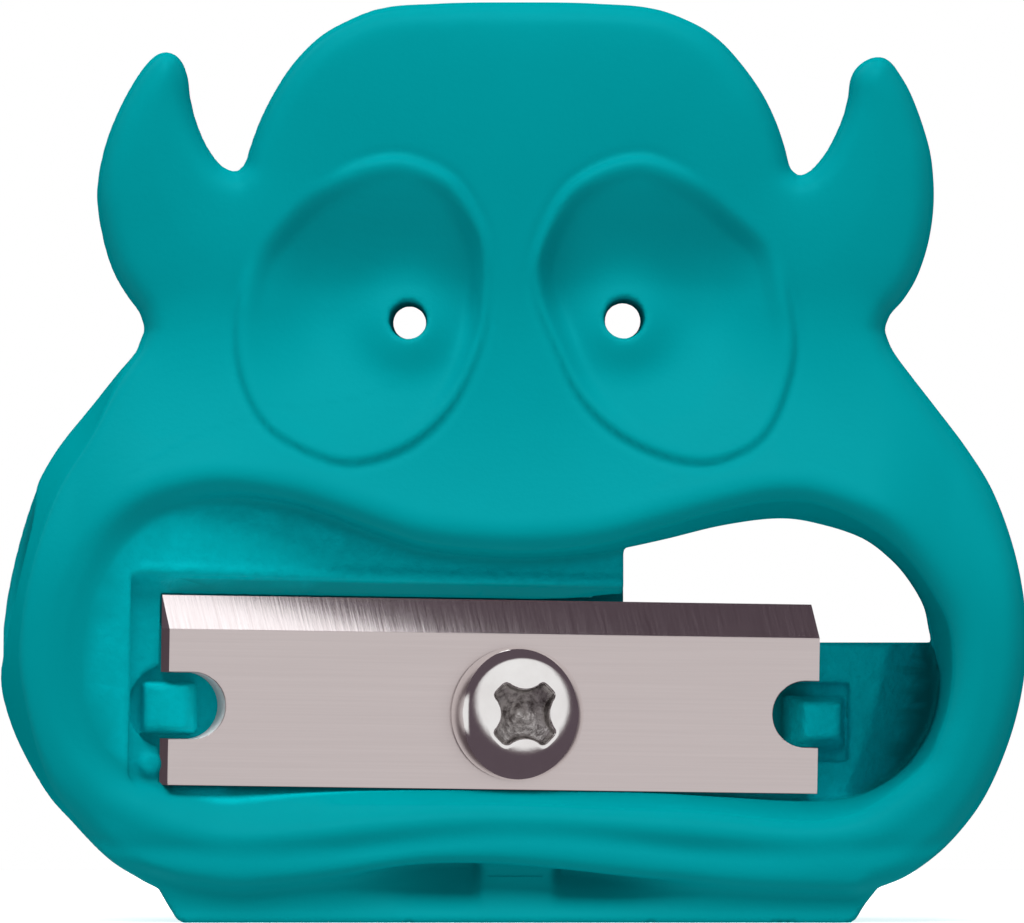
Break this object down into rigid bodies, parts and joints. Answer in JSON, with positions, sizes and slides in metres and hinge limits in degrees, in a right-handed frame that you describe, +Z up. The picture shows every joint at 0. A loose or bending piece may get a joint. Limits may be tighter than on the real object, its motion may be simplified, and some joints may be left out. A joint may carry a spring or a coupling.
{
  "type": "pencil sharpener",
  "caption": "Moulded plastic pencil sharpener shaped as a creature's head with horns and goggle eyes, a steel blade screwed across its open mouth.",
  "frame": {"origin": "middle of the bounding box, on the foot's underside", "axes": "+Z up, the face looks along -Y, and +X is the right of someone who looks at the face; the pencil goes in along +X"},
  "size_m": [0.037, 0.012, 0.0332],
  "materials": {
    "body": "satin, injection moulded, dyed teal",
    "blade": "fine brushed, ground bevel",
    "screw": "bright nickel plate"
  },
  "bodies": {
    "body": {"body": "body"},
    "blade": {"blade": "blade"},
    "blade_screw": {"blade_screw": "screw"}
  },
  "joints": [
    {"name": "blade_lift", "type": "slide", "parent": "body", "child": "blade", "axis": [0.2079, -0.9781, 0], "range_m": [0, 0.0045]},
    {"name": "screw_turn", "type": "hinge", "parent": "blade", "child": "blade_screw", "pos_m": [-0.0002, -0.00102, 0.0075], "axis": [0.2079, -0.9781, 0], "range_deg": [0, 1800]}
  ],
  "couplings": [
    {"joint": "screw_turn", "follows": "blade_lift", "rad_per_m": 6981.3}
  ]
}
